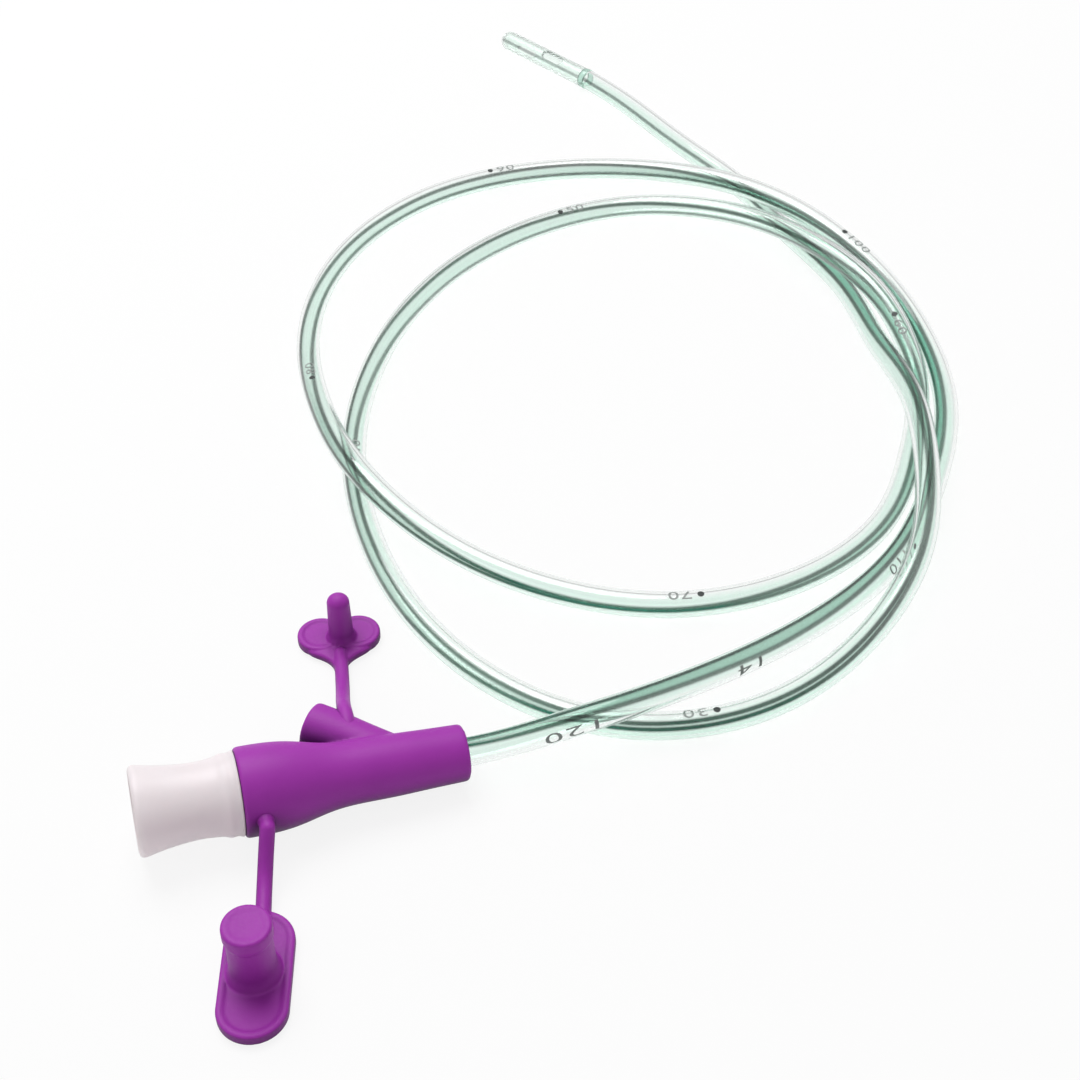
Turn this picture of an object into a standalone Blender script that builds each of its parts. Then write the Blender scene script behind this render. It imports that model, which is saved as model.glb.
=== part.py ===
# Enteral feeding tube lying in loops: soft Y connector with two tethered caps, milky feeding funnel,
# long clear tube and a closed tip piece with side eyes. Metres, +Z up, standing surface at Z = 0.
# +X is the way the tube leaves the connector, seen from above.
import math

import bpy
import bmesh
import numpy as np
from mathutils import Matrix, Vector

for old in list(bpy.data.objects):
    bpy.data.objects.remove(old, do_unlink=True)

mm = 0.001

# driving sizes
fitGap = 0.3 * mm
smallGap = 0.3 * mm
tubeRadius = 2.335 * mm
lumenRadius = 1.65 * mm
tubeRest = 2.45 * mm
tubeLifted = 7.55 * mm
tubePoints = 78

axisTilt = math.radians(3.5)
wideEnd = -9.8 * mm
tubeFace = 25.8 * mm
wideRadius = 7.0 * mm
restRadius = 6.93 * mm
restAt = -5.0 * mm
faceRadius = 4.5 * mm
tubeSocketDepth = 8.0 * mm
funnelMouth = -25.64 * mm
mouthRadius = 7.1 * mm
waistRadius = 5.85 * mm
spigotRadius = 4.6 * mm
spigotLength = 8.9 * mm

portStart = 16.6 * mm
portAngle = math.radians(40.0)
portLength = 17.2 * mm
portRadius = 4.0 * mm
portRootRadius = 3.45 * mm
portBore = 2.05 * mm

largeTabLength = 21.6 * mm
largeTabWidth = 10.4 * mm
tabThickness = 2.0 * mm
largeTabHeading = math.radians(-105.2)
largeTabCentre = (-12.75 * mm, -28.88 * mm)
plugCentre = (-12.9 * mm, -28.5 * mm)
plugRadius = 3.65 * mm
plugHeight = 10.8 * mm
largeStrapRadius = 1.2 * mm
largeHingeSide = 5.0
largeHingeAlong = -6.8 * mm
largeHingeFlank = 6.95 * mm

lobeRadius = 3.9 * mm
lobeSpacing = 6.3 * mm
smallTabHeading = math.radians(79.6)
smallTabCentre = (12.65 * mm, 35.0 * mm)
pinRadius = 1.95 * mm
pinTopRadius = 1.75 * mm
pinHeight = 9.8 * mm
smallStrapRadius = 0.98 * mm
smallHingeAlong = 11.6 * mm
smallHingeFlank = 3.9 * mm
smallHingeLift = 42.0

ringLength = 1.2 * mm
ringRadius = 2.42 * mm
tipLength = 29.5 * mm
tipWall = 0.68 * mm
eyeLength = 7.0 * mm
eyeWidth = 2.4 * mm

# middle line of the tube from the connector's face to the end of the tip: place in plan in mm, and lift,
# where 0 lies on the floor and 1 lies across another stretch of the tube
routePoints = [
    (26.5, 0.0, 0.50), (48.5, -0.5, 1.02), (71.5, 4.5, 0.74), (92.0, 13.0, 0.20), (112.0, 25.0, 0.00),
    (127.0, 41.5, 0.00), (139.5, 62.0, 0.00), (145.0, 83.5, 0.08), (144.0, 107.5, 0.52),
    (136.5, 127.5, 1.04), (125.0, 148.0, 0.76), (109.0, 163.0, 0.22), (86.5, 170.0, 0.02),
    (64.5, 167.5, 0.00), (45.0, 156.0, 0.00), (31.0, 138.0, 0.00), (23.5, 116.5, 0.14),
    (21.5, 94.0, 0.60), (23.5, 71.0, 1.04), (33.0, 50.5, 0.62), (49.0, 34.5, 0.16), (69.5, 24.5, 0.00),
    (91.5, 24.0, 0.00), (113.0, 34.0, 0.00), (126.5, 50.5, 0.02), (137.5, 72.0, 0.20),
    (139.5, 93.5, 0.94), (134.0, 117.0, 0.96), (124.5, 136.0, 0.46), (104.5, 149.0, 0.06),
    (83.0, 148.0, 0.00), (61.5, 138.0, 0.00), (45.5, 123.0, 0.00), (33.0, 103.0, 0.00),
    (25.5, 82.0, 0.00), (23.0, 59.0, 0.00), (25.5, 37.0, 0.00), (35.0, 15.5, 0.00), (51.5, 1.0, 0.00),
    (73.5, -2.5, 0.00), (95.5, 5.5, 0.14), (112.5, 19.5, 0.74), (124.0, 40.0, 1.12),
    (131.0, 61.5, 1.04), (134.5, 84.0, 0.32), (137.0, 106.0, 0.02), (134.0, 129.0, 0.00),
    (130.5, 151.5, 0.00), (124.0, 173.5, 0.00), (118.0, 195.5, 0.00), (109.5, 217.0, 0.00),
    (99.0, 237.0, 0.00),
]

mainGroup = bpy.data.collections.new("feeding_tube_set")
guideGroup = bpy.data.collections.new("guides")
bpy.context.scene.collection.children.link(mainGroup)
bpy.context.scene.collection.children.link(guideGroup)


def material(name, colour, roughness, metallic=0.0):
    made = bpy.data.materials.new(name)
    made.use_nodes = True
    shader = made.node_tree.nodes["Principled BSDF"]
    shader.inputs["Base Color"].default_value = (colour[0], colour[1], colour[2], 1.0)
    shader.inputs["Roughness"].default_value = roughness
    shader.inputs["Metallic"].default_value = metallic
    return made


def place(obj, guide=False):
    group = guideGroup if guide else mainGroup
    group.objects.link(obj)
    if guide:
        obj.hide_render = True
        obj.display_type = "WIRE"
    return obj


# turned shape about its own Z axis; the profile runs down the outer side from top to bottom
def turned(name, profile, closed=False, steps=48, guide=False, matrix=None):
    mesh = bpy.data.meshes.new(name)
    points = [(radius, 0.0, height) for radius, height in profile]
    edges = [(i, i + 1) for i in range(len(points) - 1)]
    if closed:
        edges.append((len(points) - 1, 0))
    mesh.from_pydata(points, edges, [])
    obj = place(bpy.data.objects.new(name, mesh), guide)
    screw = obj.modifiers.new("Screw", "SCREW")
    screw.axis = "Z"
    screw.angle = math.tau
    screw.steps = steps
    screw.render_steps = steps
    screw.use_merge_vertices = True
    screw.merge_threshold = 0.01 * mm
    screw.use_smooth_shade = True
    if matrix is not None:
        obj.matrix_world = matrix
    return obj


def combine(obj, other, operation):
    modifier = obj.modifiers.new(operation.title(), "BOOLEAN")
    modifier.solver = "EXACT"
    modifier.operation = operation
    modifier.object = other


# a curve made into a closed mesh, so that it can be united with others
def meshFromCurve(curveObject, name, guide):
    bpy.context.view_layer.update()
    graph = bpy.context.evaluated_depsgraph_get()
    mesh = bpy.data.meshes.new_from_object(curveObject.evaluated_get(graph))
    work = bmesh.new()
    work.from_mesh(mesh)
    bmesh.ops.remove_doubles(work, verts=work.verts, dist=0.001 * mm)
    work.to_mesh(mesh)
    work.free()
    obj = place(bpy.data.objects.new(name, mesh), guide)
    obj.matrix_world = curveObject.matrix_world
    bpy.data.objects.remove(curveObject, do_unlink=True)
    return obj


# rod of even radius through points, with a finer smooth path between them
def rod(name, points, radius, guide=True, count=14):
    path = smoothPath(np.array(points), count)
    curve = bpy.data.curves.new(name, "CURVE")
    curve.dimensions = "3D"
    curve.bevel_depth = radius
    curve.bevel_resolution = 3
    curve.use_fill_caps = True
    spline = curve.splines.new("POLY")
    spline.points.add(len(path) - 1)
    for point, place3 in zip(spline.points, path):
        point.co = (place3[0], place3[1], place3[2], 1.0)
    temp = bpy.data.objects.new(name + "_curve", curve)
    bpy.context.scene.collection.objects.link(temp)
    return meshFromCurve(temp, name, guide)


# flat plate with rounded edges from an outline, lying from Z = 0 to its thickness
def plate(name, outline, thickness, guide, matrix):
    edge = 0.5 * mm
    curve = bpy.data.curves.new(name, "CURVE")
    curve.dimensions = "2D"
    curve.fill_mode = "BOTH"
    curve.extrude = thickness / 2 - edge
    curve.bevel_depth = edge
    curve.bevel_resolution = 2
    curve.offset = -edge
    spline = curve.splines.new("POLY")
    spline.points.add(len(outline) - 1)
    for point, flat in zip(spline.points, outline):
        point.co = (flat[0], flat[1], 0.0, 1.0)
    spline.use_cyclic_u = True
    temp = bpy.data.objects.new(name + "_curve", curve)
    bpy.context.scene.collection.objects.link(temp)
    temp.matrix_world = matrix @ Matrix.Translation((0, 0, thickness / 2))
    return meshFromCurve(temp, name, guide)


# second derivatives of the natural cubic spline, solved once for all coordinates
def splineBends(at, values):
    count = len(at)
    step = np.diff(at)
    left = np.zeros((count, count))
    right = np.zeros((count, values.shape[1]))
    left[0, 0] = 1.0
    left[-1, -1] = 1.0
    for i in range(1, count - 1):
        left[i, i - 1] = step[i - 1]
        left[i, i] = 2 * (step[i - 1] + step[i])
        left[i, i + 1] = step[i]
        right[i] = 6 * ((values[i + 1] - values[i]) / step[i] - (values[i] - values[i - 1]) / step[i - 1])
    return np.linalg.solve(left, right)


def smoothPath(points, count):
    at = np.concatenate([[0.0], np.cumsum(np.linalg.norm(np.diff(points, axis=0), axis=1))])
    bends = splineBends(at, points)
    fine = np.linspace(0.0, at[-1], 40 * len(points))
    i = np.clip(np.searchsorted(at, fine, side="right") - 1, 0, len(at) - 2)
    h = (at[i + 1] - at[i])[:, None]
    a = (at[i + 1] - fine)[:, None] / h
    b = (fine - at[i])[:, None] / h
    line = a * points[i] + b * points[i + 1]
    line += ((a ** 3 - a) * bends[i] + (b ** 3 - b) * bends[i + 1]) * h * h / 6
    run = np.concatenate([[0.0], np.cumsum(np.linalg.norm(np.diff(line, axis=0), axis=1))])
    even = np.linspace(0.0, run[-1], count)
    return np.stack([np.interp(even, run, line[:, k]) for k in range(points.shape[1])], 1)


# connector axis: local Z of every turned piece of it points towards the tube
axisWay = Vector((math.cos(axisTilt), 0.0, -math.sin(axisTilt)))
axisHeight = restRadius * math.cos(axisTilt) + restAt * math.sin(axisTilt)
axisOrigin = Vector((0.0, 0.0, axisHeight))
axisMatrix = Matrix.Translation(axisOrigin) @ Matrix.Rotation(math.pi / 2 + axisTilt, 4, "Y")


def onAxis(distance):
    return axisOrigin + axisWay * distance


# connector body
bodyProfile = [
    (0.0, tubeFace), (faceRadius - 0.35 * mm, tubeFace), (faceRadius, tubeFace - 0.35 * mm),
    (faceRadius + 0.2 * mm, 19.0 * mm), (4.9 * mm, 14.2 * mm), (4.92 * mm, 9.0 * mm),
    (5.1 * mm, 5.5 * mm), (5.6 * mm, 2.6 * mm), (6.25 * mm, 0.0), (6.7 * mm, -2.3 * mm),
    (restRadius, restAt), (wideRadius, wideEnd + 0.8 * mm), (wideRadius - 0.25 * mm, wideEnd + 0.2 * mm),
    (wideRadius - 0.6 * mm, wideEnd), (0.0, wideEnd),
]
body = turned("connector_body", bodyProfile, matrix=axisMatrix)
body.data.materials.append(material("purple_soft", (0.30, 0.03, 0.36), 0.45))

portWay = -axisWay * math.cos(portAngle) + Vector((0, 1, 0)) * math.sin(portAngle)
portMatrix = Matrix.Translation(onAxis(portStart)) @ Vector((0, 0, 1)).rotation_difference(portWay).to_matrix().to_4x4()
portProfile = [
    (0.0, portLength), (portRadius - 0.4 * mm, portLength), (portRadius, portLength - 0.4 * mm),
    (portRadius - 0.05 * mm, portLength - 3.0 * mm), (portRootRadius, 4.0 * mm),
    (portRootRadius - 0.1 * mm, 0.0), (0.0, 0.0),
]
portOuter = turned("port_outer", portProfile, guide=True, matrix=portMatrix)
combine(body, portOuter, "UNION")

spigotSocket = spigotRadius + fitGap
tubeSocket = tubeRadius + fitGap
boreProfile = [
    (0.0, tubeFace + 1 * mm), (tubeSocket, tubeFace + 1 * mm), (tubeSocket, tubeFace - tubeSocketDepth),
    (lumenRadius, tubeFace - tubeSocketDepth), (lumenRadius, 9.0 * mm),
    (3.4 * mm, wideEnd + spigotLength), (spigotSocket, wideEnd + spigotLength),
    (spigotSocket, wideEnd - 1 * mm), (0.0, wideEnd - 1 * mm),
]
boreCutter = turned("body_bore", boreProfile, guide=True, matrix=axisMatrix)
combine(body, boreCutter, "DIFFERENCE")

portBoreProfile = [(0.0, portLength + 1 * mm), (portBore, portLength + 1 * mm), (1.5 * mm, 0.4 * mm), (0.0, 0.4 * mm)]
portCutter = turned("port_bore", portBoreProfile, guide=True, steps=32, matrix=portMatrix)
combine(body, portCutter, "DIFFERENCE")

# feeding funnel, its spigot seated in the wide end
shoulder = wideEnd - fitGap
spigotEnd = wideEnd + spigotLength - fitGap
funnelProfile = [
    (spigotRadius, spigotEnd), (spigotRadius, shoulder), (6.6 * mm, shoulder), (6.45 * mm, -11.2 * mm),
    (6.0 * mm, -13.3 * mm), (waistRadius, -16.0 * mm), (6.05 * mm, -19.0 * mm), (6.55 * mm, -22.5 * mm),
    (mouthRadius - 0.1 * mm, -25.0 * mm), (mouthRadius, funnelMouth + 0.4 * mm), (mouthRadius - 0.3 * mm, funnelMouth),
    (mouthRadius - 0.8 * mm, funnelMouth), (5.9 * mm, -24.6 * mm), (5.1 * mm, -19.0 * mm),
    (4.7 * mm, -14.0 * mm), (3.7 * mm, -6.0 * mm), (3.4 * mm, spigotEnd),
]
funnel = turned("feeding_funnel", funnelProfile, closed=True, matrix=axisMatrix)
funnel.data.materials.append(material("milky_soft", (0.82, 0.78, 0.78), 0.4))


def flatMatrix(centre, heading):
    return Matrix.Translation((centre[0], centre[1], 0.0)) @ Matrix.Rotation(heading, 4, "Z")


# moves a finished piece's own origin to its joint without moving its shape
def originTo(obj, point):
    shift = Vector(point)
    moved = obj.matrix_world.inverted() @ Matrix.Translation(shift)
    obj.data.transform(moved.inverted())
    obj.matrix_world = Matrix.Translation(shift)


# large cap: round-ended plate with a plug, on a rod that starts at the body's near flank
largeSpot = onAxis(largeHingeAlong)
largeReach = largeHingeFlank + largeStrapRadius + smallGap
largeWay = Vector((0.0, -math.cos(math.radians(largeHingeSide)), math.sin(math.radians(largeHingeSide))))
largeHinge = largeSpot + largeWay * largeReach
straight = largeTabLength / 2 - largeTabWidth / 2
turn = np.linspace(-math.pi / 2, math.pi / 2, 19)
outline = [(straight + math.cos(a) * largeTabWidth / 2, math.sin(a) * largeTabWidth / 2) for a in turn]
outline += [(-straight - math.cos(a) * largeTabWidth / 2, -math.sin(a) * largeTabWidth / 2) for a in turn]
largeCap = plate("large_cap", outline, tabThickness, False, flatMatrix(largeTabCentre, largeTabHeading))
largeCap.data.materials.append(material("purple_cap_large", (0.32, 0.04, 0.38), 0.45))
plugTop = tabThickness + plugHeight
plugProfile = [
    (0.0, plugTop), (plugRadius - 0.6 * mm, plugTop), (plugRadius - 0.15 * mm, plugTop - 0.2 * mm),
    (plugRadius, plugTop - 0.7 * mm), (plugRadius, plugTop - 2.2 * mm), (plugRadius - 0.25 * mm, plugTop - 2.6 * mm),
    (plugRadius - 0.15 * mm, tabThickness + 1.0 * mm), (plugRadius - 0.15 * mm, tabThickness / 2),
    (0.0, tabThickness / 2),
]
plug = turned("large_plug", plugProfile, guide=True, matrix=flatMatrix(plugCentre, 0.0))
combine(largeCap, plug, "UNION")
largeStrapPoints = [
    tuple(largeHinge), (-7.3 * mm, -10.4 * mm, 5.2 * mm), (-8.1 * mm, -13.0 * mm, 2.7 * mm),
    (-9.2 * mm, -16.5 * mm, 1.5 * mm), (-10.0 * mm, -19.5 * mm, 1.25 * mm), (-10.7 * mm, -22.0 * mm, 1.25 * mm),
]
largeStrap = rod("large_strap", largeStrapPoints, largeStrapRadius)
combine(largeCap, largeStrap, "UNION")
ball = [(largeStrapRadius * math.sin(a), largeStrapRadius * math.cos(a)) for a in np.linspace(0, math.pi, 9)]
largeEnd = turned("large_strap_end", ball, guide=True, steps=16, matrix=Matrix.Translation(largeHinge))
combine(largeCap, largeEnd, "UNION")
originTo(largeCap, largeHinge)

# small cap: two-lobed plate with a domed pin, on a rod that starts at the port's far flank
portSide = axisWay * math.sin(portAngle) + Vector((0, 1, 0)) * math.cos(portAngle)
smallSpot = onAxis(portStart) + portWay * smallHingeAlong
smallReach = smallHingeFlank + smallStrapRadius + smallGap
smallWay = portSide * math.cos(math.radians(smallHingeLift)) + Vector((0, 0, 1)) * math.sin(math.radians(smallHingeLift))
smallHinge = smallSpot + smallWay * smallReach
smallMatrix = flatMatrix(smallTabCentre, smallTabHeading)
neck = [(-9.0, 0.85), (-7.6, 1.05), (-6.6, 1.5), (-5.8, 2.2), (-4.8, 3.6), (-3.6, 5.2), (-1.0, 5.6)]
neckOutline = [(x * mm, -y * mm) for x, y in neck] + [(x * mm, y * mm) for x, y in reversed(neck)]
smallCap = plate("small_cap", neckOutline, tabThickness, False, smallMatrix)
smallCap.data.materials.append(material("purple_cap_small", (0.32, 0.04, 0.38), 0.45))
edge = 0.5 * mm
lobeProfile = [
    (0.0, tabThickness), (lobeRadius - edge, tabThickness), (lobeRadius - 0.15 * mm, tabThickness - 0.15 * mm),
    (lobeRadius, tabThickness - edge), (lobeRadius, edge), (lobeRadius - 0.15 * mm, 0.15 * mm),
    (lobeRadius - edge, 0.0), (0.0, 0.0),
]
for side, label in ((-1, "near"), (1, "far")):
    lobeMatrix = smallMatrix @ Matrix.Translation((0, side * lobeSpacing / 2, 0))
    combine(smallCap, turned("lobe_" + label, lobeProfile, guide=True, matrix=lobeMatrix), "UNION")
pinTop = tabThickness + pinHeight
dome = [(pinTopRadius * math.sin(a), pinTop - pinTopRadius * 0.8 * (1 - math.cos(a))) for a in np.linspace(0, math.pi / 2, 7)]
pinProfile = dome + [(pinRadius, tabThickness + 0.5 * mm), (pinRadius, tabThickness / 2), (0.0, tabThickness / 2)]
pin = turned("small_pin", pinProfile, guide=True, steps=32, matrix=flatMatrix((12.9 * mm, 33.9 * mm), 0.0))
combine(smallCap, pin, "UNION")
smallStrapPoints = [
    tuple(smallHinge), (9.7 * mm, 13.4 * mm, 7.4 * mm), (9.9 * mm, 16.8 * mm, 4.6 * mm),
    (10.4 * mm, 20.8 * mm, 2.2 * mm), (11.0 * mm, 24.4 * mm, 1.2 * mm), (11.6 * mm, 28.0 * mm, 1.0 * mm),
    (12.0 * mm, 30.5 * mm, 1.0 * mm),
]
smallStrap = rod("small_strap", smallStrapPoints, smallStrapRadius)
combine(smallCap, smallStrap, "UNION")
bead = [(smallStrapRadius * math.sin(a), smallStrapRadius * math.cos(a)) for a in np.linspace(0, math.pi, 9)]
smallEnd = turned("small_strap_end", bead, guide=True, steps=16, matrix=Matrix.Translation(smallHinge))
combine(smallCap, smallEnd, "UNION")
originTo(smallCap, smallHinge)

# tube: smooth line through the route points, its height from their lift
startHeight = axisOrigin.z - math.sin(axisTilt) * (routePoints[0][0] * mm)
startLift = (startHeight - tubeRest) / (tubeLifted - tubeRest)
routeLine = smoothPath(np.array([routePoints[0][:2] + (startLift,)] + routePoints[1:]), 4000)
planRun = np.concatenate([[0.0], np.cumsum(np.linalg.norm(np.diff(routeLine[:, :2], axis=0), axis=1))])
tipStart = planRun[-1] - (tipLength + ringLength + 2 * fitGap) / mm
run = np.linspace(0.0, tipStart, tubePoints)
lift = np.maximum(np.interp(run, planRun, routeLine[:, 2]), 0.0)
height = (tubeRest + (tubeLifted - tubeRest) * lift) / mm
tubePath = np.stack([np.interp(run, planRun, routeLine[:, 0]), np.interp(run, planRun, routeLine[:, 1]), height], 1)
socketStart = onAxis(tubeFace - tubeSocketDepth + fitGap)
tubePath = np.concatenate([[tuple(socketStart / mm)], tubePath]) * mm
tubeCurve = bpy.data.curves.new("feeding_tube", "CURVE")
tubeCurve.dimensions = "3D"
tubeCurve.bevel_depth = tubeRadius
tubeCurve.bevel_resolution = 2
tubeCurve.use_fill_caps = True
tubeSpline = tubeCurve.splines.new("POLY")
tubeSpline.points.add(len(tubePath) - 1)
for point, spot in zip(tubeSpline.points, tubePath):
    point.co = (spot[0], spot[1], spot[2], 1.0)
tubeSpline.use_smooth = True
tube = place(bpy.data.objects.new("feeding_tube", tubeCurve))
tubeCurve.materials.append(material("clear_green", (0.55, 0.75, 0.68), 0.12))

# joint ring and tip piece, in line with the last stretch
tipEndPoint = Vector((routePoints[-1][0] * mm, routePoints[-1][1] * mm, tubeRest))
lastPoint = Vector(tubePath[-1])
tipWay = (tipEndPoint - lastPoint).normalized()
alongTip = Vector((0, 0, 1)).rotation_difference(tipWay).to_matrix().to_4x4()
ringMatrix = Matrix.Translation(lastPoint + tipWay * fitGap) @ alongTip
ringProfile = [
    (ringRadius - 0.2 * mm, ringLength), (ringRadius, ringLength - 0.2 * mm), (ringRadius, 0.2 * mm),
    (ringRadius - 0.2 * mm, 0.0), (lumenRadius, 0.0), (lumenRadius, ringLength),
]
ring = turned("tip_joint", ringProfile, closed=True, steps=32, matrix=ringMatrix)
ring.data.materials.append(material("joint_band", (0.45, 0.58, 0.54), 0.3))

tipMatrix = Matrix.Translation(lastPoint + tipWay * (2 * fitGap + ringLength)) @ alongTip
tipInner = tubeRadius - tipWall
noseOuter = [(tubeRadius * math.sin(a), tipLength - tubeRadius + tubeRadius * math.cos(a)) for a in np.linspace(0, math.pi / 2, 9)]
noseInner = [(tipInner * math.sin(a), tipLength - tubeRadius + tipInner * math.cos(a)) for a in np.linspace(math.pi / 2, 0, 7)]
tipProfile = noseOuter + [(tubeRadius, 0.0), (tipInner, 0.0)] + noseInner
tip = turned("distal_tip", tipProfile, steps=32, matrix=tipMatrix)
tip.data.materials.append(material("tip_mint", (0.60, 0.76, 0.70), 0.2))
eyeStraight = (eyeLength - eyeWidth) / 2
for index, (along, angle) in enumerate(((22.0 * mm, 90.0), (10.5 * mm, -90.0))):
    arc = np.linspace(0, math.pi / 2, 6)
    pill = [(eyeWidth / 2 * math.sin(a), eyeStraight + eyeWidth / 2 * math.cos(a)) for a in arc]
    pill += [(eyeWidth / 2 * math.cos(a), -eyeStraight - eyeWidth / 2 * math.sin(a)) for a in arc]
    way = Matrix.Rotation(math.radians(angle), 4, "Z")
    spot = tipMatrix @ way @ Matrix.Translation((tubeRadius - 0.1 * mm, 0, along))
    combine(tip, turned("eye_cutter_%d" % (index + 1), pill, guide=True, steps=24, matrix=spot), "DIFFERENCE")

bpy.context.view_layer.update()
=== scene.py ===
# Feeding tube set, dressed: soft purple Y connector with its two tethered caps, milky funnel, long clear
# tube with green in its wall and two dark lines, partly its own stripes and partly painted shade seen through
# the wall, printed depth numbers, and the closed tip with side eyes.
import math

import bpy
import bmesh
import numpy as np
from mathutils import Matrix, Vector


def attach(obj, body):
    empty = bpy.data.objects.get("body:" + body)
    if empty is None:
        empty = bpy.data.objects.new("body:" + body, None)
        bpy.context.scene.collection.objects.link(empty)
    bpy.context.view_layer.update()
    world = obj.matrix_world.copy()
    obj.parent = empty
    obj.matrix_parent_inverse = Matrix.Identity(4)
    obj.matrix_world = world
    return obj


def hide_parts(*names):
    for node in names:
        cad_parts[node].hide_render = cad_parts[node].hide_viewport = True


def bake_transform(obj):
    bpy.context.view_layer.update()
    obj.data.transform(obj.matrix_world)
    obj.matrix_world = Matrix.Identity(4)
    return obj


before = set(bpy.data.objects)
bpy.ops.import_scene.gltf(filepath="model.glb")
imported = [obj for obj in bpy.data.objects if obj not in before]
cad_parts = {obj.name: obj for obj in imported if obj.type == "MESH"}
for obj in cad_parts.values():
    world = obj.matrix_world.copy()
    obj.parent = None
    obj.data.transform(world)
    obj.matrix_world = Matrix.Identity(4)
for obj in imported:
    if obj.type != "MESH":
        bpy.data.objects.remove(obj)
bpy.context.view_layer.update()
mm = 0.001
print("frame loaded")


def addObject(name, data):
    made = bpy.data.objects.new(name, data)
    bpy.context.scene.collection.objects.link(made)
    return made


# turn of a camera or lamp that looks from one place to another
def facing(place, target):
    return (Vector(target) - Vector(place)).to_track_quat("-Z", "Y").to_euler()


# camera, at the height and turn of the picture
cameraSet = {
    "place": (-0.01651, -0.18339, 0.2190), "target": (0.05285, 0.04973, 0.0), "lens": 60.0, "sensor": 36.0,
}
cameraData = bpy.data.cameras.new("camera")
cameraData.lens = cameraSet["lens"]
cameraData.sensor_width = cameraSet["sensor"]
camera = addObject("camera", cameraData)
camera.location = cameraSet["place"]
camera.rotation_euler = facing(cameraSet["place"], cameraSet["target"])
bpy.context.scene.camera = camera


# natural cubic spline: second derivatives from the usual three-term rows
def splineBends(at, values):
    count = len(at)
    step = np.diff(at)
    left = np.zeros((count, count))
    right = np.zeros((count, values.shape[1]))
    left[0, 0] = 1.0
    left[-1, -1] = 1.0
    for i in range(1, count - 1):
        left[i, i - 1] = step[i - 1]
        left[i, i] = 2 * (step[i - 1] + step[i])
        left[i, i + 1] = step[i]
        right[i] = 6 * ((values[i + 1] - values[i]) / step[i] - (values[i] - values[i - 1]) / step[i - 1])
    return np.linalg.solve(left, right)


# line through all points: each span blends its two ends and adds their bends times the cubes of the two
# shares, less the shares; the line is then cut into steps of equal length
def smoothPath(points, count):
    at = np.concatenate([[0.0], np.cumsum(np.linalg.norm(np.diff(points, axis=0), axis=1))])
    bends = splineBends(at, points)
    fine = np.linspace(0.0, at[-1], 40 * len(points))
    i = np.clip(np.searchsorted(at, fine, side="right") - 1, 0, len(at) - 2)
    h = (at[i + 1] - at[i])[:, None]
    a = (at[i + 1] - fine)[:, None] / h
    b = (fine - at[i])[:, None] / h
    line = a * points[i] + b * points[i + 1]
    line += ((a ** 3 - a) * bends[i] + (b ** 3 - b) * bends[i + 1]) * h * h / 6
    run = np.concatenate([[0.0], np.cumsum(np.linalg.norm(np.diff(line, axis=0), axis=1))])
    even = np.linspace(0.0, run[-1], count)
    return np.stack([np.interp(even, run, line[:, k]) for k in range(points.shape[1])], 1)


# slow start and slow end: three squares less two cubes of the part, held between 0 and 1
def ease(part):
    part = np.clip(part, 0.0, 1.0)
    return part * part * (3 - 2 * part)


# way of travel at every point of a path, its right side (way x up) and its upper side (right x way)
def pathFrames(path):
    way = np.gradient(path, axis=0)
    way /= np.linalg.norm(way, axis=1)[:, None]
    right = np.cross(way, [0.0, 0.0, 1.0])
    right /= np.linalg.norm(right, axis=1)[:, None]
    return way, right, np.cross(right, way)


# grid of points [row, column] made into quads; columns always close round, rows close when asked
def gridSolid(grid, closeRows=False):
    rows, columns = grid.shape[:2]
    i = np.arange(rows if closeRows else rows - 1)[:, None]
    j = np.arange(columns)[None, :]
    nextI = (i + 1) % rows
    nextJ = (j + 1) % columns
    faces = [i * columns + j, i * columns + nextJ, nextI * columns + nextJ, nextI * columns + j]
    return grid.reshape(-1, 3), np.stack(faces, -1).reshape(-1, 4)


# several solids as one: face numbers go up by the count of points before them
def joined(solids):
    starts = np.cumsum([0] + [len(points) for points, _ in solids[:-1]])
    points = np.concatenate([points for points, _ in solids])
    faces = np.concatenate([faces + start for (_, faces), start in zip(solids, starts)])
    return points, faces


# points times the matrix's turn, plus its shift
def moved(solid, matrix):
    points, faces = solid
    table = np.array(matrix)
    return points @ table[:3, :3].T + table[:3, 3], faces


# each corner (radius, height, rounding) becomes an arc that touches both of its sides: start times
# (1 - t) squared, corner times 2 t (1 - t), end times t squared
def roundedProfile(corners, arcSteps=5):
    flat = np.array([corner[:2] for corner in corners], dtype=float)
    line = [flat[0]]
    for index in range(1, len(corners) - 1):
        size = corners[index][2] if len(corners[index]) > 2 else 0.0
        if size <= 0.0:
            line.append(flat[index])
            continue
        before = flat[index - 1] - flat[index]
        after = flat[index + 1] - flat[index]
        start = flat[index] + before / np.linalg.norm(before) * size
        end = flat[index] + after / np.linalg.norm(after) * size
        t = np.linspace(0.0, 1.0, arcSteps + 1)[:, None]
        line.extend((1 - t) ** 2 * start + 2 * t * (1 - t) * flat[index] + t ** 2 * end)
    line.append(flat[-1])
    return np.array(line)


# profile (radius, height) carried round the Z axis: radius * (cos, sin), height
def turnedSolid(profile, steps=96, matrix=None, closed=False):
    profile = np.asarray(profile, dtype=float)
    angle = np.linspace(0.0, math.tau, steps, endpoint=False)
    grid = np.empty((len(profile), steps, 3))
    grid[..., 0] = profile[:, 0, None] * np.cos(angle)
    grid[..., 1] = profile[:, 0, None] * np.sin(angle)
    grid[..., 2] = profile[:, 1, None]
    solid = gridSolid(grid, closed)
    return solid if matrix is None else moved(solid, matrix)


# ways out from a path, all round it: cos * upper side + sin * right side
def ringWays(uppers, rights, angle):
    return np.cos(angle)[None, :, None] * uppers[:, None] + np.sin(angle)[None, :, None] * rights[:, None]


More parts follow.
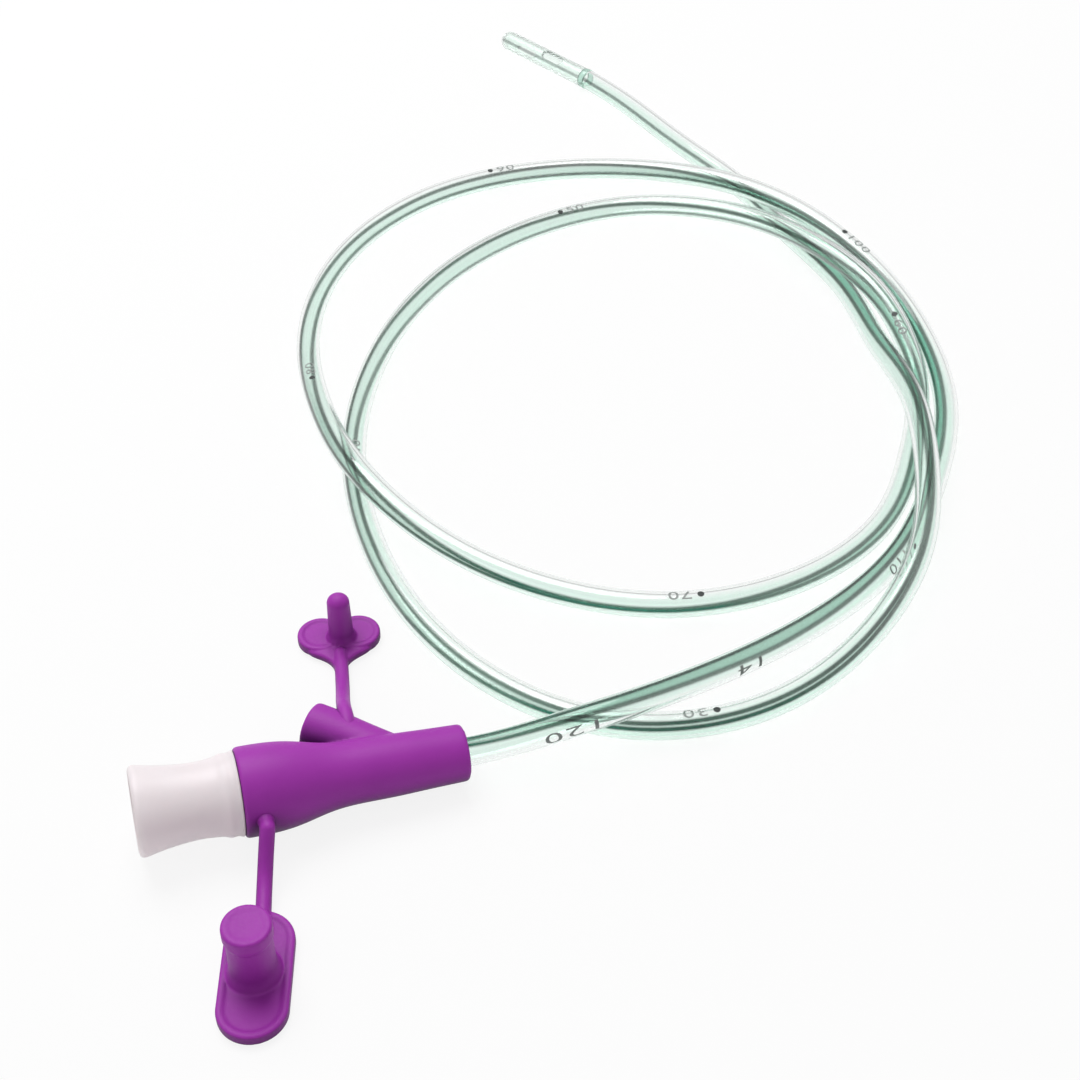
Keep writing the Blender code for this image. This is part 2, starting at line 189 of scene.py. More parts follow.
# ring at each path point: centre + radius * (cos * upper side + sin * right side); each end runs out to
# a dome, where the radius goes with the sine and the way out with the cosine
def rodSolid(path, radius, steps=28):
    radius = np.broadcast_to(radius, (len(path),)).astype(float)
    way, right, upper = pathFrames(path)
    dome = np.linspace(0.0, math.pi / 2, 7)[:-1]
    firstCentres = path[0] - way[0] * (radius[0] * np.cos(dome))[:, None]
    lastCentres = path[-1] + way[-1] * (radius[-1] * np.cos(dome))[::-1, None]
    centres = np.concatenate([firstCentres, path, lastCentres])
    radii = np.concatenate([radius[0] * np.sin(dome), radius, radius[-1] * np.sin(dome)[::-1]])
    rights, uppers = (np.pad(side, ((len(dome), len(dome)), (0, 0)), mode="edge") for side in (right, upper))
    angle = np.linspace(0.0, math.tau, steps, endpoint=False)
    return gridSolid(centres[:, None] + ringWays(uppers, rights, angle) * radii[:, None, None])


def newMesh(name, solid):
    mesh = bpy.data.meshes.new(name)
    mesh.from_pydata(solid[0].tolist(), [], solid[1].tolist())
    return mesh


# faces turned outwards, with doubles merged where a distance is given
def cleanMesh(mesh, doubles=0.0):
    work = bmesh.new()
    work.from_mesh(mesh)
    if doubles > 0.0:
        bmesh.ops.remove_doubles(work, verts=work.verts, dist=doubles)
        bmesh.ops.dissolve_degenerate(work, edges=work.edges, dist=doubles)
    bmesh.ops.recalc_face_normals(work, faces=work.faces)
    work.to_mesh(mesh)
    work.free()


# smooth, with creases sharper than the angle kept
def smoothShade(piece, creaseAngle):
    mesh = piece.data
    mesh.polygons.foreach_set("use_smooth", np.ones(len(mesh.polygons), dtype=bool))
    mesh.set_sharp_from_angle(angle=math.radians(creaseAngle))


def makePiece(name, solid, creaseAngle=35.0):
    piece = addObject(name, newMesh(name, solid))
    cleanMesh(piece.data, 0.0005 * mm)
    smoothShade(piece, creaseAngle)
    return piece


# takes what the modifiers make as the piece's own mesh
def bakeModifiers(piece):
    bpy.context.view_layer.update()
    graph = bpy.context.evaluated_depsgraph_get()
    made = bpy.data.meshes.new_from_object(piece.evaluated_get(graph))
    piece.modifiers.clear()
    old = piece.data
    piece.data = made
    bpy.data.meshes.remove(old)
    made.name = piece.name
    return piece


# solids run together in one skin, as soft plastic comes out of a mould
def mouldedPiece(name, solids, voxel, rounds):
    piece = makePiece(name, joined(solids), 180.0)
    skin = piece.modifiers.new("Skin", "REMESH")
    skin.mode = "VOXEL"
    skin.voxel_size = voxel
    skin.use_smooth_shade = True
    soften = piece.modifiers.new("Soften", "SMOOTH")
    soften.factor = 0.5
    soften.iterations = rounds
    return bakeModifiers(piece)


def cutOut(piece, solid):
    cutter = makePiece(piece.name + "_cut", solid)
    cut = piece.modifiers.new("Cut", "BOOLEAN")
    cut.operation = "DIFFERENCE"
    cut.solver = "EXACT"
    cut.object = cutter
    bakeModifiers(piece)
    bpy.data.objects.remove(cutter, do_unlink=True)


# route of the tube: the same points as in the part's source, x and y in mm and the lift there
# (0 lies on the floor, 1 lies across another run of the tube)
routePoints = [
    (26.5, 0, 0.5), (48.5, -0.5, 1.02), (71.5, 4.5, 0.74), (92, 13, 0.2), (112, 25, 0), (127, 41.5, 0),
    (139.5, 62, 0), (145, 83.5, 0.08), (144, 107.5, 0.52), (136.5, 127.5, 1.04), (125, 148, 0.76),
    (109, 163, 0.22), (86.5, 170, 0.02), (64.5, 167.5, 0), (45, 156, 0), (31, 138, 0), (23.5, 116.5, 0.14),
    (21.5, 94, 0.6), (23.5, 71, 1.04), (33, 50.5, 0.62), (49, 34.5, 0.16), (69.5, 24.5, 0), (91.5, 24, 0),
    (113, 34, 0), (126.5, 50.5, 0.02), (137.5, 72, 0.2), (139.5, 93.5, 0.94), (134, 117, 0.96),
    (124.5, 136, 0.46), (104.5, 149, 0.06), (83, 148, 0), (61.5, 138, 0), (45.5, 123, 0), (33, 103, 0),
    (25.5, 82, 0), (23, 59, 0), (25.5, 37, 0), (35, 15.5, 0), (51.5, 1, 0), (73.5, -2.5, 0),
    (95.5, 5.5, 0.14), (112.5, 19.5, 0.74), (124, 40, 1.12), (131, 61.5, 1.04), (134.5, 84, 0.32),
    (137, 106, 0.02), (134, 129, 0), (130.5, 151.5, 0), (124, 173.5, 0), (118, 195.5, 0), (109.5, 217, 0),
    (99, 237, 0),
]
fitGap = 0.3 * mm  # between a piece and the socket or the piece that it meets
tubeSet = {
    "radius": 2.335 * mm, "lumen": 1.68 * mm, "rest": 2.45, "lifted": 7.55,  # the two heights in mm
    "exitReach": 22.0 * mm, "rings": 1010, "sides": 48, "socketDepth": 8.0 * mm,
}
tipSet = {
    "length": 29.5 * mm, "wall": 0.68 * mm, "ringLength": 1.2 * mm, "ringRadius": 2.42 * mm, "steps": 72,
    "eyeLength": 7.0 * mm, "eyeWidth": 2.4 * mm, "eyes": ((22.0 * mm, 90.0), (10.5 * mm, -90.0)),
    "lineAngle": -130.0, "lineStrength": 0.75,
}
connectorSet = {
    "tilt": math.radians(3.5), "restRadius": 6.93 * mm, "restAt": -5.0 * mm, "face": 25.8 * mm,
    "wideEnd": -9.8 * mm, "spigotLength": 8.9 * mm, "spigotSocket": 4.65 * mm,
    "portStart": 16.6 * mm, "portAngle": math.radians(40.0), "portLength": 17.2 * mm, "portRadius": 4.0 * mm,
    "portRoot": 3.45 * mm, "portBore": 2.05 * mm, "voxel": 0.26 * mm, "rounds": 8,
    # radius and place along the axis, both in mm, from the tube's end to the wide end
    "flank": [(4.52, 25.2), (4.58, 23.0), (4.7, 19.0), (4.88, 14.2), (4.93, 9.5), (5.12, 5.5), (5.6, 2.6),
              (6.22, 0.0), (6.66, -2.3), (6.93, -5.0), (7.0, -8.9)],
}
tilt = connectorSet["tilt"]
axisWay = Vector((math.cos(tilt), 0.0, -math.sin(tilt)))
axisHeight = connectorSet["restRadius"] * math.cos(tilt) + connectorSet["restAt"] * math.sin(tilt)
axisOrigin = Vector((0.0, 0.0, axisHeight))
axisMatrix = Matrix.Translation(axisOrigin) @ Matrix.Rotation(math.pi / 2 + tilt, 4, "Y")


# place on the connector's axis
def onAxis(distance):
    return axisOrigin + axisWay * distance


startHeight = (axisOrigin.z - math.sin(tilt) * (routePoints[0][0] * mm)) / mm
liftHeight = tubeSet["lifted"] - tubeSet["rest"]
startLift = (startHeight - tubeSet["rest"]) / liftHeight
routeLine = smoothPath(np.array([routePoints[0][:2] + (startLift,)] + routePoints[1:]), 4000)
planSteps = np.linalg.norm(np.diff(routeLine[:, :2], axis=0), axis=1)
planRun = np.concatenate([[0.0], np.cumsum(planSteps)])
tipStart = planRun[-1] - (tipSet["length"] + tipSet["ringLength"] + 2 * fitGap) / mm
run = np.linspace(0.0, tipStart, tubeSet["rings"])
tubeLine = np.stack([np.interp(run, planRun, routeLine[:, k]) for k in range(3)], 1)
tubeLine[:, 2] = tubeSet["rest"] + liftHeight * np.maximum(tubeLine[:, 2], 0.0)
tubeLine *= mm


# cubic that leaves the face along the axis and meets the route in the route's own direction: both ends
# and both directions, each times its own cubic of t
def leaveFace(line, reach):
    first = np.array(onAxis(connectorSet["face"] + fitGap))
    last = int(np.searchsorted(np.cumsum(np.linalg.norm(np.diff(line, axis=0), axis=1)), reach))
    size = np.linalg.norm(line[last] - first)
    way = (line[last + 1] - line[last - 1]) / np.linalg.norm(line[last + 1] - line[last - 1])
    t = np.linspace(0.0, 1.0, last + 1)[:-1, None]
    curve = (2 * t ** 3 - 3 * t ** 2 + 1) * first + (t ** 3 - 2 * t ** 2 + t) * np.array(axisWay) * size
    curve += (3 * t ** 2 - 2 * t ** 3) * line[last] + (t ** 3 - t ** 2) * way * size
    return np.concatenate([curve, line[last:]])


tubeLine = leaveFace(tubeLine, tubeSet["exitReach"])
socketStart = np.array(onAxis(connectorSet["face"] - tubeSet["socketDepth"] + fitGap))
lead = socketStart + (tubeLine[0] - socketStart) * np.linspace(0.0, 1.0, 9)[:-1, None]
tubeLine = np.concatenate([lead, tubeLine])
tubeAlong = np.concatenate([[0.0], np.cumsum(np.linalg.norm(np.diff(tubeLine, axis=0), axis=1))])
tubeAlong -= np.linalg.norm(np.array(onAxis(connectorSet["face"])) - socketStart)  # 0 at the connector's face
_, tubeRight, tubeUpper = pathFrames(tubeLine)

# the tube is twisted as it lies: how far the printed row and the two fine dark lines are turned from the top
# towards the right of travel (mm along the tube, degrees), and how strong the lines and the tint between them
# are there (mm along the tube, 0 to 1); the lines are partly the wall's own stripes and partly painted shade,
# turned to where shade shows through the clear wall
wallSet = {
    "printTurn": [(0, 80), (18, 80), (49, 76), (89, 48), (100, 36), (195, 4), (286, -5), (384, 6),
                  (487, 3), (589, -20), (684, -16), (785, -10), (887, -4), (1150, 0)],
    "turns": [
        [(0, -20), (25, -10), (50, -10), (70, -15), (90, -35), (120, -45), (140, -60), (175, -50),
         (195, -60), (215, -85), (290, -90), (315, -85), (340, -65), (365, -35), (390, 10), (425, 40),
         (450, 65), (470, 70), (485, 65), (560, 0), (580, -50), (605, -100), (635, -105), (705, -95),
         (730, -80), (750, -50), (775, -15), (800, 10), (870, 35), (910, 25), (1000, -25), (1045, -50),
         (1085, -60), (1150, -65)],
        [(0, 15), (20, 30), (55, 45), (70, 35), (90, 10), (120, -5), (140, -20), (175, -20), (190, -40),
         (215, -60), (230, -60), (245, -45), (265, -35), (290, -40), (315, -35), (340, -10), (365, 30),
         (385, 60), (425, 80), (455, 80), (535, 60), (560, 40), (580, -15), (610, -60), (635, -60),
         (655, -55), (695, -25), (730, -10), (750, 15), (800, 55), (825, 65), (890, 55), (915, 45),
         (945, 15), (1000, 15), (1025, 10), (1060, -10)],
    ],
    "strengths": [
        [(0, 1), (100, 0.98), (150, 1), (245, 0.98), (300, 0.93), (375, 0.93), (400, 0.97), (455, 1),
         (520, 0.95), (560, 0.98), (640, 0.87), (760, 0.9), (790, 0.97), (850, 0.95), (880, 1),
         (930, 0.97), (950, 0.9), (990, 0.98), (1050, 0.98), (1100, 0.89)],
        [(0, 1), (50, 0.93), (100, 0.97), (200, 0.93), (245, 0.97), (295, 0.95), (400, 0.97), (455, 1),
         (490, 1), (510, 0.93), (620, 0.95), (640, 0.98), (780, 0.97), (835, 0.95), (860, 1), (900, 1),
         (985, 0.9), (1050, 0.93), (1075, 0.7), (1080, 0)],
    ],
    "tint": [(0, 0.85), (60, 0.75), (140, 0.95), (220, 0.95), (245, 0.5), (295, 0.1), (380, 0.2),
             (400, 0.6), (440, 0.4), (510, 0.6), (565, 0.9), (600, 0.8), (640, 0.15), (760, 0.2),
             (790, 0.45), (850, 0.45), (885, 0.3), (950, 0.6), (985, 0.95), (1045, 0.9), (1075, 0)],
    "smoothRings": 9, "tintEdge": 0.25, "tintStart": 0.3, "tintBack": -0.3,
}


# value at each place along the tube, straight between the rows of a table
def tableAt(table, along):
    table = np.array(table, dtype=float)
    return np.interp(along / mm, table[:, 0], table[:, 1])


def printAngle(along):
    return np.radians(tableAt(wallSet["printTurn"], along))


# one number or one triple for each point of a mesh, for the shaders to read
def writeLayer(mesh, name, values):
    isTriple = values.ndim == 3
    layer = mesh.attributes.new(name, "FLOAT_VECTOR" if isTriple else "FLOAT", "POINT")
    layer.data.foreach_set("vector" if isTriple else "value", values.astype(np.float32).ravel())


# sine and cosine of the way round from a fine line, and the line's strength
def writeLine(mesh, name, away, strength):
    writeLayer(mesh, name, np.stack([np.sin(away), np.cos(away), strength], -1))


# way round = angle of the point less the turn of the row or line there; the tint lies where the first line
# is behind and the second is ahead, with soft edges; the wall of the bore gets neither line nor tint
def writeWall(mesh, angle):
    printSide = np.cos(angle[None, :] - printAngle(tubeAlong)[:, None])
    writeLayer(mesh, "printSide", np.concatenate([printSide, printSide[::-1]]))
    rings = wallSet["smoothRings"]
    tint = np.broadcast_to(tableAt(wallSet["tint"], tubeAlong)[:, None], printSide.shape)
    # the two dark lines: partly the wall's own stripes, partly painted shade placed where shade shows through
    # the clear wall
    for index, name in enumerate(("lineOne", "lineTwo")):
        turns = np.pad(tableAt(wallSet["turns"][index], tubeAlong), rings // 2, mode="edge")
        turned = np.convolve(turns, np.ones(rings) / rings, mode="valid")
        away = angle[None, :] - np.radians(turned)[:, None]
        strength = np.broadcast_to(tableAt(wallSet["strengths"][index], tubeAlong)[:, None], away.shape)
        writeLine(mesh, name, np.concatenate([away, away]), np.concatenate([strength, 0.0 * strength]))
        side = np.sin(away) if index == 0 else -np.sin(away)
        tint = tint * ease(side / wallSet["tintEdge"] + wallSet["tintStart"])
        tint = tint * (np.cos(away) > wallSet["tintBack"])
    writeLayer(mesh, "lineFill", np.concatenate([tint, 0.0 * tint]))


# ring of points at each path point: centre + radius * (cos * upper side + sin * right side);
# the outer skin runs forth, the wall of the bore runs back, and both ends close between them
def tubePiece():
    angle = np.linspace(0.0, math.tau, tubeSet["sides"], endpoint=False)
    ring = ringWays(tubeUpper, tubeRight, angle)
    outer = tubeLine[:, None] + ring * tubeSet["radius"]
    inner = tubeLine[:, None] + ring * tubeSet["lumen"]
    mesh = newMesh("feeding_tube_clear", gridSolid(np.concatenate([outer, inner[::-1]]), closeRows=True))
    writeWall(mesh, angle)
    cleanMesh(mesh)
    piece = addObject("feeding_tube_clear", mesh)
    smoothShade(piece, 50.0)
    return piece


tube = tubePiece()
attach(tube, "connector")
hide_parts("feeding_tube")

lastPoint = Vector(tubeLine[-1])
tipEnd = Vector((routePoints[-1][0] * mm, routePoints[-1][1] * mm, tubeSet["rest"] * mm))
tipWay = (tipEnd - lastPoint).normalized()
alongTip = Vector((0, 0, 1)).rotation_difference(tipWay).to_matrix().to_4x4()
ringMatrix = Matrix.Translation(lastPoint + tipWay * 0.05 * mm) @ alongTip
tipMatrix = Matrix.Translation(lastPoint + tipWay * (2 * fitGap + tipSet["ringLength"])) @ alongTip


# short turned band that laps over both gaps
def ringPiece():
    length = tipSet["ringLength"] + 0.45 * mm
    outer = tipSet["ringRadius"]
    lumen = tubeSet["lumen"]
    corners = [(lumen, 0.0), (outer, 0.0, 0.3 * mm), (outer, length, 0.3 * mm), (lumen, length)]
    band = turnedSolid(roundedProfile(corners), tipSet["steps"], ringMatrix, closed=True)
    return makePiece("tip_joint_ring", band)


# turned skin to a half-round nose, wall of the bore back again; a pill is cut through the wall for each eye
def tipPiece():
    radius = tubeSet["radius"]
    inner = radius - tipSet["wall"]
    noseAt = tipSet["length"] - radius
    quarter = np.linspace(0.0, math.pi / 2, 13)
    outerNose = np.stack([radius * np.sin(quarter), noseAt + radius * np.cos(quarter)], 1)
    outerSide = np.stack([np.full(40, radius), np.linspace(noseAt, 0.0, 41)[1:]], 1)
    innerSide = np.stack([np.full(40, inner), np.linspace(0.0, noseAt, 41)[:-1]], 1)
    innerNose = np.stack([inner * np.cos(quarter), noseAt + inner * np.sin(quarter)], 1)
    profile = np.concatenate([outerNose, outerSide, innerSide, innerNose])
    piece = makePiece("distal_tip_mint", turnedSolid(profile, tipSet["steps"], tipMatrix))
    half = (tipSet["eyeLength"] - tipSet["eyeWidth"]) / 2
    width = tipSet["eyeWidth"] / 2
    pill = np.concatenate([
        np.stack([width * np.sin(quarter), half + width * np.cos(quarter)], 1),
        np.stack([width * np.cos(quarter), -half - width * np.sin(quarter)], 1)])
    for along, angle in tipSet["eyes"]:
        turn = Matrix.Rotation(math.radians(angle), 4, "Z")
        spot = tipMatrix @ turn @ Matrix.Translation((radius - 0.1 * mm, 0, along))
        cutOut(piece, turnedSolid(pill, 48, spot))
    smoothShade(piece, 40.0)
    # the tip's dark line, carrying on the tube's: partly a stripe and partly painted shade seen through the
    # clear wall
    points = np.empty(len(piece.data.vertices) * 3)
    piece.data.vertices.foreach_get("co", points)
    local, _ = moved((points.reshape(-1, 3), None), tipMatrix.inverted())
    reach = np.hypot(local[:, 0], local[:, 1])
    away = np.arctan2(local[:, 1], local[:, 0]) - math.radians(tipSet["lineAngle"])
    strength = np.where(reach > radius * 0.9, tipSet["lineStrength"], 0.0)
    writeLine(piece.data, "lineOne", away[None], strength[None])
    return piece


tipRing = ringPiece()
tip = tipPiece()
for piece, node, slot in ((tipRing, "tip_joint", "joint_band"), (tip, "distal_tip", "tip_mint")):
    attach(piece, "connector")
    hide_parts(node)


# way of the side port, level with the connector's axis
portAngle = connectorSet["portAngle"]
portWay = -axisWay * math.cos(portAngle) + Vector((0, 1, 0)) * math.sin(portAngle)
alongPort = Vector((0, 0, 1)).rotation_difference(portWay).to_matrix().to_4x4()
portMatrix = Matrix.Translation(onAxis(connectorSet["portStart"])) @ alongPort


# turned body and turned side port run together in one skin, then both bores are cut, each a turned solid
def connectorPiece():
    face = connectorSet["face"]
    wide = connectorSet["wideEnd"]
    flank = smoothPath(np.array(connectorSet["flank"]), 90) * mm
    lipTop = roundedProfile([(0.0, face), (4.2 * mm, face), (4.5 * mm, face - 0.35 * mm), tuple(flank[0])])
    lipLow = roundedProfile([tuple(flank[-1]), (7.0 * mm, wide, 0.7 * mm), (0.0, wide)])
    body = turnedSolid(np.concatenate([lipTop[:-1], flank, lipLow[1:]]), 112, axisMatrix)
    length = connectorSet["portLength"]
    radius = connectorSet["portRadius"]
    portFlank = smoothPath(np.array([
        (radius, length - 1.0 * mm), (radius - 0.02 * mm, length - 3.0 * mm),
        (radius - 0.22 * mm, length - 7.0 * mm), (radius - 0.45 * mm, 5.0 * mm),
        (connectorSet["portRoot"], 1.0 * mm)]), 40)
    portLip = roundedProfile([(0.0, length), (radius, length, 0.45 * mm), tuple(portFlank[0])])
    port = turnedSolid(np.concatenate([portLip[:-1], portFlank, [(0.0, 0.5 * mm)]]), 88, portMatrix)
    piece = mouldedPiece("connector_skin", [body, port], connectorSet["voxel"], connectorSet["rounds"])
    socket = tubeSet["radius"] + 0.03 * mm
    lumen = tubeSet["lumen"]
    depth = face - tubeSet["socketDepth"]
    spigotSocket = connectorSet["spigotSocket"]
    spigotEnd = wide + connectorSet["spigotLength"]
    bore = [(0.0, face + 1 * mm), (socket + 0.5 * mm, face + 1 * mm), (socket + 0.35 * mm, face + 0.02 * mm),
            (socket, face - 0.4 * mm), (socket, depth), (lumen, depth), (lumen, 9.0 * mm),
            (3.4 * mm, spigotEnd), (spigotSocket, spigotEnd), (spigotSocket, wide - 1 * mm),
            (0.0, wide - 1 * mm)]
    cutOut(piece, turnedSolid(bore, 96, axisMatrix))
    bored = connectorSet["portBore"]
    portBore = [(0.0, length + 1 * mm), (bored + 0.6 * mm, length + 1 * mm), (bored + 0.35 * mm, length),
                (bored, length - 0.5 * mm), (1.5 * mm, 0.4 * mm), (0.0, 0.4 * mm)]
    cutOut(piece, turnedSolid(portBore, 64, portMatrix))
    smoothShade(piece, 40.0)
    return piece


connector = connectorPiece()
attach(connector, "connector")
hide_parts("connector_body")
print("connector moulded")


# funnel: radius and place along the axis, both in mm
funnelSet = {
    "spigot": (4.6, -1.2), "shoulder": -9.83, "mouth": -25.64, "steps": 128,
    "lip": ((7.15, 1.15), (5.9, 0.35)),  # radius and rounding of the mouth's two edges
    "outer": [(6.62, -10.1), (6.4, -10.9), (6.46, -11.7), (6.2, -12.6), (5.98, -13.9), (5.85, -16.0),
              (6.02, -19.0), (6.5, -22.3), (6.95, -24.4)],
    "inner": [(6.1, -24.9), (5.55, -22.0), (5.1, -19.0), (4.75, -14.5), (4.3, -10.0), (3.75, -6.0),
              (3.4, -1.4)],
}


# hollow turned shell: spigot, outside, rolled mouth and inside make one closed profile
def funnelPiece():
    outer = smoothPath(np.array(funnelSet["outer"]), 50)
    inner = smoothPath(np.array(funnelSet["inner"]), 50)
    mouth = funnelSet["mouth"]
    lipCorners = [(radius, mouth, rounding) for radius, rounding in funnelSet["lip"]]
    lip = roundedProfile([tuple(outer[-1])] + lipCorners + [tuple(inner[0])], 9)
    spigotRadius, spigotEnd = funnelSet["spigot"]
    shoulder = funnelSet["shoulder"]
    start = roundedProfile([(3.4, spigotEnd), (spigotRadius, spigotEnd, 0.3), (spigotRadius, shoulder),
                            (6.66, shoulder, 0.25), tuple(outer[0])])
    profile = np.concatenate([start[:-1], outer, lip[1:-1], inner]) * mm
    shell = turnedSolid(profile, funnelSet["steps"], axisMatrix, closed=True)
    return makePiece("funnel_shell", shell, 50.0)


funnel = funnelPiece()
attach(funnel, "connector")
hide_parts("feeding_funnel")
print("funnel turned")


# caps: plate, plug or pin, and tether run together in one skin
def flatMatrix(centre, heading):
    return Matrix.Translation((centre[0], centre[1], 0.0)) @ Matrix.Rotation(heading, 4, "Z")


# plate round a middle line: spine point + outward way * reach, where reach and height follow the edge profile
def roundEndPlate(length, width, edge, matrix):
    half = length / 2 - width / 2
    turn = np.linspace(0.0, math.tau, 96, endpoint=False)
    spine = np.where(np.cos(turn) > 1e-9, half, np.where(np.cos(turn) < -1e-9, -half, 0.0))
    edge = np.asarray(edge)
    grid = np.empty((len(edge), len(turn), 3))
    grid[..., 0] = spine[None] + np.cos(turn)[None] * edge[:, 0, None]
    grid[..., 1] = np.sin(turn)[None] * edge[:, 0, None]
    grid[..., 2] = edge[:, 1, None]
    return moved(gridSolid(grid), matrix)


# flat strip: at each station a rounded box section of that station's half width, where sine and cosine
# keep their signs and are raised to a power (superellipse)
def stripSolid(stations, thickness, matrix, steps=40, boxiness=3.4):
    stations = np.asarray(stations)
    turn = np.linspace(0.0, math.tau, steps, endpoint=False)
    waves = np.stack([np.cos(turn), np.sin(turn)])
    across, upward = np.sign(waves) * np.abs(waves) ** (2.0 / boxiness)
    grid = np.empty((len(stations) + 2, steps, 3))
    grid[1:-1, :, 0] = stations[:, 0, None]
    grid[1:-1, :, 1] = stations[:, 1, None] * across
    grid[1:-1, :, 2] = thickness / 2 + thickness / 2 * upward
    grid[0] = [stations[0, 0], 0.0, thickness / 2]
    grid[-1] = [stations[-1, 0], 0.0, thickness / 2]
    return moved(gridSolid(grid), matrix)


largeCapSet = {
    "length": 21.6 * mm, "width": 10.4 * mm, "thickness": 2.0 * mm, "heading": math.radians(-105.2),
    "rim": 0.22 * mm,  # the plate's edge stands a little above its middle
    "centre": (-12.75 * mm, -28.88 * mm), "plugCentre": (-12.9 * mm, -28.5 * mm), "plugRadius": 3.65 * mm,
    "plugHeight": 10.8 * mm, "tether": 1.2 * mm, "side": math.radians(5.0), "along": -6.8 * mm,
    "flank": 6.95 * mm, "rootFrom": 6.3 * mm, "voxel": 0.17 * mm, "rounds": 5,
    # tether from its hinge to the plate, in mm
    "path": [(-7.6, -10.4, 5.2), (-8.5, -13.0, 2.7), (-9.4, -16.5, 1.6), (-10.05, -19.5, 1.45),
             (-10.6, -22.0, 1.5)],
}
largeSpot = onAxis(largeCapSet["along"])
largeOut = Vector((0.0, -math.cos(largeCapSet["side"]), math.sin(largeCapSet["side"])))
largeHinge = largeSpot + largeOut * (largeCapSet["flank"] + largeCapSet["tether"] + fitGap)


# plate with a raised rim, turned plug, and a tether that gets thicker towards the plate and at its root
def largeCapPiece():
    half = largeCapSet["width"] / 2
    thick = largeCapSet["thickness"]
    low = thick - largeCapSet["rim"]
    edge = roundedProfile([
        (0.0, low), (half - 1.3 * mm, low, 0.3 * mm), (half - 0.9 * mm, thick, 0.25 * mm),
        (half, thick, 0.45 * mm), (half, 0.0, 0.45 * mm), (0.0, 0.0)])
    plateMatrix = flatMatrix(largeCapSet["centre"], largeCapSet["heading"])
    plate = roundEndPlate(largeCapSet["length"], largeCapSet["width"], edge, plateMatrix)
    radius = largeCapSet["plugRadius"]
    top = thick + largeCapSet["plugHeight"]
    plugLine = roundedProfile([
        (0.0, top - 0.18 * mm), (radius - 1.3 * mm, top - 0.12 * mm, 0.3 * mm),
        (radius - 0.8 * mm, top, 0.3 * mm), (radius, top - 0.05 * mm, 0.45 * mm),
        (radius + 0.02 * mm, top - 2.3 * mm, 0.3 * mm),
        (radius - 0.3 * mm, top - 2.8 * mm, 0.3 * mm), (radius - 0.2 * mm, thick + 1.2 * mm, 0.8 * mm),
        (radius + 0.5 * mm, thick - 0.2 * mm), (0.0, thick / 2)])
    plug = turnedSolid(plugLine, 96, flatMatrix(largeCapSet["plugCentre"], 0.0))
    thin = largeCapSet["tether"]
    path = smoothPath(np.concatenate([[tuple(largeHinge)], np.array(largeCapSet["path"]) * mm]), 60)
    run = np.linspace(0.0, 1.0, 60)
    tether = rodSolid(path, thin * (1.0 + 0.2 * ease((run - 0.82) / 0.18)))
    rootRun = np.linspace(0.0, 1.0, 12)
    rootStart = np.array(largeSpot + largeOut * largeCapSet["rootFrom"])
    rootPath = rootStart + (np.array(largeHinge) - rootStart) * rootRun[:, None]
    root = rodSolid(rootPath, thin * (1.0 + 0.25 * ease(1.0 - rootRun / 0.6)))
    solids = [plate, plug, tether, root]
    return mouldedPiece("large_cap_skin", solids, largeCapSet["voxel"], largeCapSet["rounds"])


smallCapSet = {
    "lobe": 3.9 * mm, "spacing": 6.3 * mm, "thickness": 2.0 * mm, "rim": 0.2 * mm,
    "heading": math.radians(79.6), "centre": (12.65 * mm, 35.0 * mm), "pinCentre": (12.9 * mm, 33.9 * mm),
    "pinRadius": 2.1 * mm, "pinTop": 1.9 * mm, "pinHeight": 9.4 * mm, "tether": 0.98 * mm,
    "voxel": 0.14 * mm, "rounds": 5,
    # neck between tether and lobes: place along the plate and half width, in mm
    "neck": [(-9.0, 0.9), (-7.6, 1.05), (-6.6, 1.5), (-5.8, 2.2), (-4.8, 3.6), (-3.6, 5.2), (-1.0, 5.6)],
    # tether from inside the port to the plate, in mm
    "path": [(8.8, 5.2, 7.7), (8.9, 7.9, 8.8), (9.0, 10.6, 8.7), (9.3, 13.4, 7.0), (9.75, 16.8, 4.6),
             (10.4, 20.8, 2.4), (11.0, 24.4, 1.45), (11.6, 28.0, 1.3), (12.0, 30.5, 1.3)],
}


# two turned lobes, flat neck, turned pin with a domed top, and a tether that gets thicker at its root
def smallCapPiece():
    thick = smallCapSet["thickness"]
    lobe = smallCapSet["lobe"]
    matrix = flatMatrix(smallCapSet["centre"], smallCapSet["heading"])
    low = thick - smallCapSet["rim"]
    edge = roundedProfile([
        (0.0, low), (lobe - 1.2 * mm, low, 0.25 * mm), (lobe - 0.8 * mm, thick, 0.2 * mm),
        (lobe, thick, 0.5 * mm), (lobe, 0.0, 0.5 * mm), (0.0, 0.0)])
    shifts = [Matrix.Translation((0, side * smallCapSet["spacing"] / 2, 0)) for side in (-1, 1)]
    lobes = [turnedSolid(edge, 72, matrix @ shift) for shift in shifts]
    strip = stripSolid(smoothPath(np.array(smallCapSet["neck"]), 40) * mm, thick - 0.15 * mm, matrix)
    radius = smallCapSet["pinRadius"]
    topRadius = smallCapSet["pinTop"]
    top = thick + smallCapSet["pinHeight"]
    arc = np.linspace(0.0, math.pi / 2, 12)
    dome = np.stack([topRadius * np.sin(arc), top - topRadius * 0.8 * (1 - np.cos(arc))], 1)
    foot = roundedProfile([tuple(dome[-1]), (radius, thick + 0.9 * mm, 0.6 * mm),
                           (radius + 0.5 * mm, thick - 0.1 * mm), (0.0, thick / 2)])
    pin = turnedSolid(np.concatenate([dome, foot[1:]]), 64, flatMatrix(smallCapSet["pinCentre"], 0.0))
    run = np.linspace(0.0, 1.0, 70)
    radii = smallCapSet["tether"] * (1.2 + 0.12 * ease(1.0 - run / 0.35))
    tether = rodSolid(smoothPath(np.array(smallCapSet["path"]) * mm, 70), radii)
    solids = lobes + [strip, pin, tether]
    return mouldedPiece("small_cap_skin", solids, smallCapSet["voxel"], smallCapSet["rounds"])


